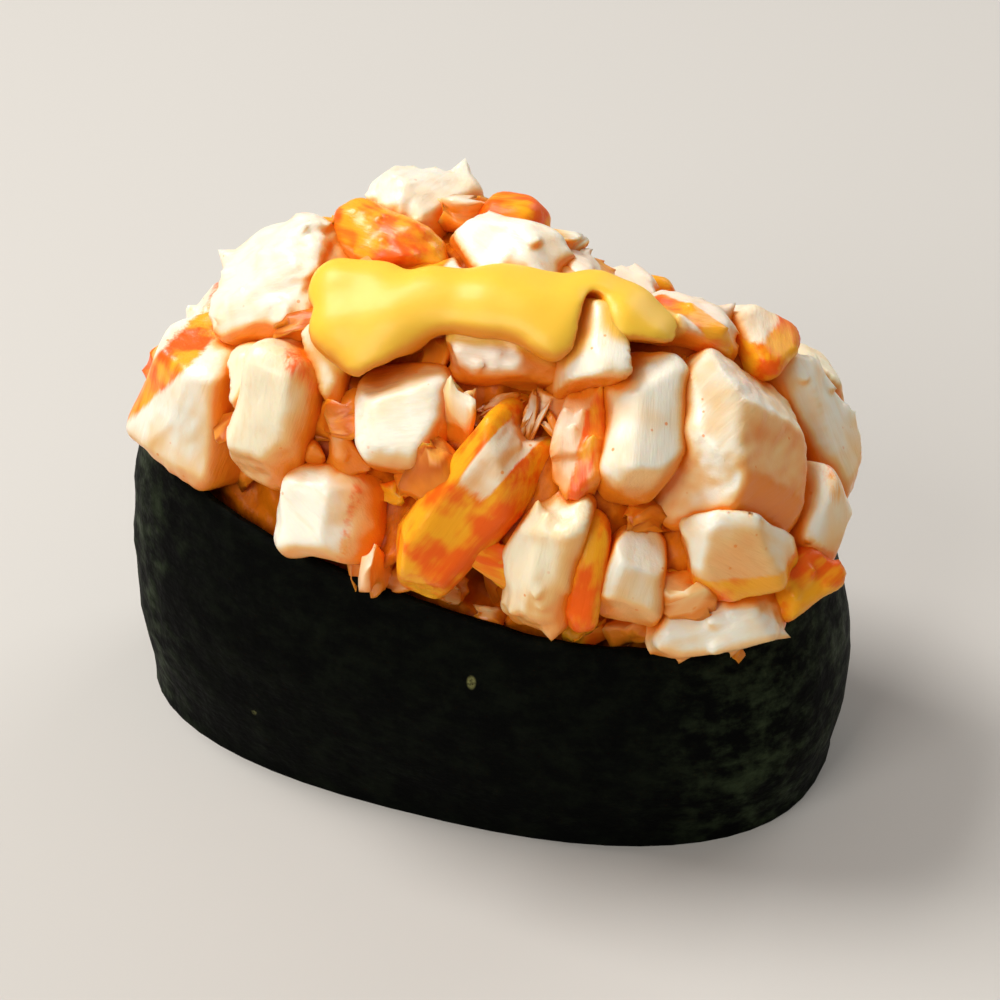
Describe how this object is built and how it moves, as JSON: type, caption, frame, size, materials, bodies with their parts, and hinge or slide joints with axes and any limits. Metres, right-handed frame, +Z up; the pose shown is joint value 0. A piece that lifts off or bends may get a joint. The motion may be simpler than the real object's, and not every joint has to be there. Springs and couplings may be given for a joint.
{
  "type": "gunkan sushi",
  "caption": "Boat sushi: an oval nori band round a rice base, heaped with chopped surimi in orange dressing under a thick yellow sauce.",
  "frame": {"origin": "middle of the flat underside, on the surface that the sushi stands on", "axes": "+X along the band's length, towards its lower end; +Y towards the back, where the nori's seam is; +Z up"},
  "size_m": [0.0607, 0.0397, 0.0462],
  "materials": {
    "nori": "dry pressed seaweed, nearly black with a green sheen",
    "rice": "moist cooked rice",
    "dressing": "fine surimi flakes wet with orange dressing",
    "surimi": "moist fibrous cream-white surimi",
    "surimi_skin": "moist orange outer skin of surimi sticks",
    "sauce": "thick glossy yellow sauce"
  },
  "bodies": {
    "root": {"flaked_core": "dressing", "nori_band": "nori", "rice_base": "rice", "sauce": "sauce", "surimi_01": "surimi_skin", "surimi_02": "surimi", "surimi_03": "surimi", "surimi_04": "surimi", "surimi_05": "surimi", "surimi_06": "surimi_skin", "surimi_07": "surimi", "surimi_08": "surimi", "surimi_09": "surimi", "surimi_10": "surimi", "surimi_11": "surimi", "surimi_12": "surimi", "surimi_13": "surimi_skin", "surimi_14": "surimi", "surimi_15": "surimi", "surimi_16": "surimi", "surimi_17": "surimi", "surimi_18": "surimi", "surimi_19": "surimi", "surimi_20": "surimi", "surimi_21": "surimi", "surimi_22": "surimi", "surimi_23": "surimi", "surimi_24": "surimi", "surimi_25": "surimi", "surimi_26": "surimi", "surimi_27": "surimi_skin", "surimi_28": "surimi", "surimi_29": "surimi", "surimi_30": "surimi_skin", "surimi_31": "surimi", "surimi_32": "surimi", "surimi_33": "surimi", "surimi_34": "surimi_skin", "surimi_35": "surimi", "surimi_36": "surimi", "surimi_37": "surimi", "surimi_38": "surimi_skin", "surimi_39": "surimi", "surimi_40": "surimi", "surimi_41": "surimi_skin", "surimi_42": "surimi", "surimi_43": "surimi", "surimi_44": "surimi_skin", "surimi_45": "surimi", "surimi_46": "surimi_skin", "surimi_47": "surimi", "surimi_48": "surimi", "surimi_49": "surimi_skin", "surimi_50": "surimi", "surimi_51": "surimi", "surimi_52": "surimi_skin", "surimi_53": "surimi"}
  },
  "joints": []
}
